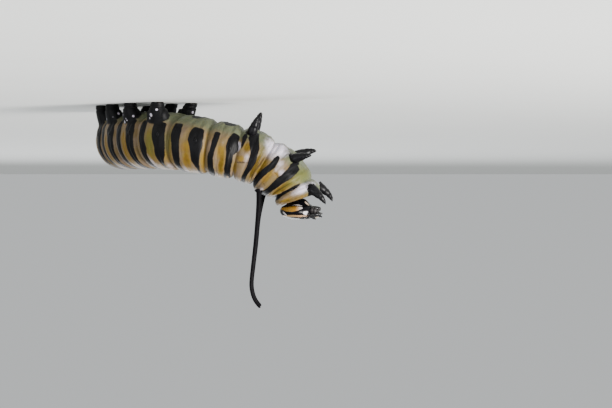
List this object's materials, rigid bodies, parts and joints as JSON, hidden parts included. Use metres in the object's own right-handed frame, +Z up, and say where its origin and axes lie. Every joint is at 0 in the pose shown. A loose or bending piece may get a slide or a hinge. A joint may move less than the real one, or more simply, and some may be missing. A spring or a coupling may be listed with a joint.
{
  "type": "butterfly larva",
  "caption": "Banded butterfly larva standing on its prolegs with its front raised and its head bent over, its rear half curving aside, with long front and short rear filaments.",
  "frame": {"origin": "on the floor under the middle of the whole larva's bounding box", "axes": "+Z up; the head and the front half point to -X, with the left flank to -Y; the rear half curves round to +Y"},
  "size_m": [0.0225, 0.0238, 0.0187],
  "materials": {
    "banded_skin": "soft, faintly glossy skin in black, yellow and white bands",
    "black_cuticle": "hard, glossy black cuticle",
    "proleg_flesh": "soft satin black skin with white spots",
    "pale_lip": "satin, pale hard skin"
  },
  "bodies": {
    "root": {"head": "black_cuticle", "upper_lip": "pale_lip", "lower_lip": "black_cuticle", "mandible_left": "black_cuticle", "mandible_right": "black_cuticle", "antenna_left": "black_cuticle", "antenna_right": "black_cuticle", "prothorax": "banded_skin", "mesothorax": "banded_skin", "metathorax": "banded_skin", "abdomen_1": "banded_skin", "abdomen_2": "banded_skin", "abdomen_3": "banded_skin", "abdomen_4": "banded_skin", "abdomen_5": "banded_skin", "abdomen_6": "banded_skin", "abdomen_7": "banded_skin", "abdomen_8": "banded_skin", "abdomen_9": "banded_skin", "abdomen_10": "banded_skin", "leg_prothorax_left": "black_cuticle", "leg_prothorax_right": "black_cuticle", "leg_mesothorax_left": "black_cuticle", "leg_mesothorax_right": "black_cuticle", "leg_metathorax_left": "black_cuticle", "leg_metathorax_right": "black_cuticle", "proleg_3_left": "proleg_flesh", "proleg_3_right": "proleg_flesh", "proleg_4_left": "proleg_flesh", "proleg_4_right": "proleg_flesh", "proleg_5_left": "proleg_flesh", "proleg_5_right": "proleg_flesh", "proleg_6_left": "proleg_flesh", "proleg_6_right": "proleg_flesh", "anal_proleg_left": "proleg_flesh", "anal_proleg_right": "proleg_flesh", "filament_front_left": "black_cuticle", "filament_front_right": "black_cuticle", "filament_rear_left": "black_cuticle", "filament_rear_right": "black_cuticle"}
  },
  "joints": []
}
